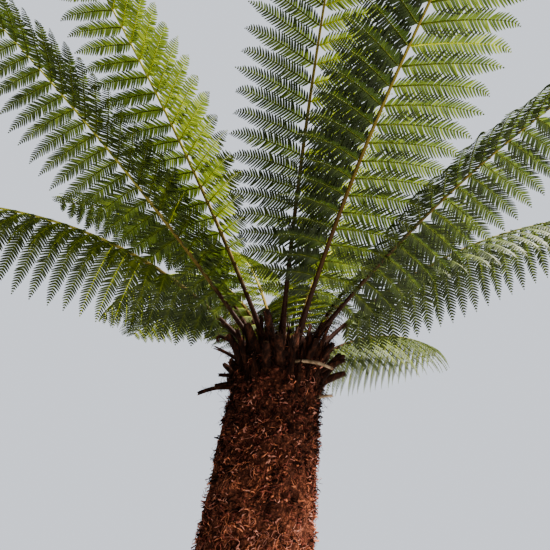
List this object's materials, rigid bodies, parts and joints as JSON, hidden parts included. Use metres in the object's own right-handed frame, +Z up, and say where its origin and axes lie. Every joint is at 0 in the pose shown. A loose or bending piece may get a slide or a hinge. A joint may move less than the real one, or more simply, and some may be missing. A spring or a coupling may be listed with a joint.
{
  "type": "tree fern",
  "caption": "Tree fern rooted in the ground: a leaning trunk in a fibrous mantle, old stalk bases round its head and a full crown of long arching fronds.",
  "frame": {"origin": "on the ground, under the middle of the flat cut at the trunk's foot", "axes": "+Z up, +X to the side that the trunk leans to, -Y towards the side that the picture shows"},
  "size_m": [3.6818, 3.4485, 3.8378],
  "materials": {
    "mantle": "matted root fibres, reddish brown, matt",
    "wool": "brown wool, matt",
    "old_stalk": "dry old stalk, dark brown, matt",
    "frond": "leaf green, satin"
  },
  "bodies": {
    "root": {"trunk": "mantle", "crown_heart": "wool", "old_stalk_01": "old_stalk", "old_stalk_02": "old_stalk", "old_stalk_03": "old_stalk", "old_stalk_04": "old_stalk", "old_stalk_05": "old_stalk", "old_stalk_06": "old_stalk", "old_stalk_07": "old_stalk", "old_stalk_08": "old_stalk", "old_stalk_09": "old_stalk", "old_stalk_10": "old_stalk", "old_stalk_11": "old_stalk", "old_stalk_12": "old_stalk", "old_stalk_13": "old_stalk", "old_stalk_14": "old_stalk", "old_stalk_15": "old_stalk", "old_stalk_16": "old_stalk", "old_stalk_17": "old_stalk", "old_stalk_18": "old_stalk", "old_stalk_19": "old_stalk", "old_stalk_20": "old_stalk", "old_stalk_21": "old_stalk", "old_stalk_22": "old_stalk", "old_stalk_23": "old_stalk", "old_stalk_24": "old_stalk", "old_stalk_25": "old_stalk", "old_stalk_26": "old_stalk", "old_stalk_27": "old_stalk", "old_stalk_28": "old_stalk", "old_stalk_29": "old_stalk", "old_stalk_30": "old_stalk", "old_stalk_31": "old_stalk", "frond_01": "frond", "frond_02": "frond", "frond_03": "frond", "frond_04": "frond", "frond_05": "frond", "frond_06": "frond", "frond_07": "frond", "frond_08": "frond", "frond_09": "frond", "frond_10": "frond", "frond_11": "frond", "frond_12": "frond", "frond_13": "frond", "frond_14": "frond", "frond_15": "frond", "frond_16": "frond"}
  },
  "joints": []
}
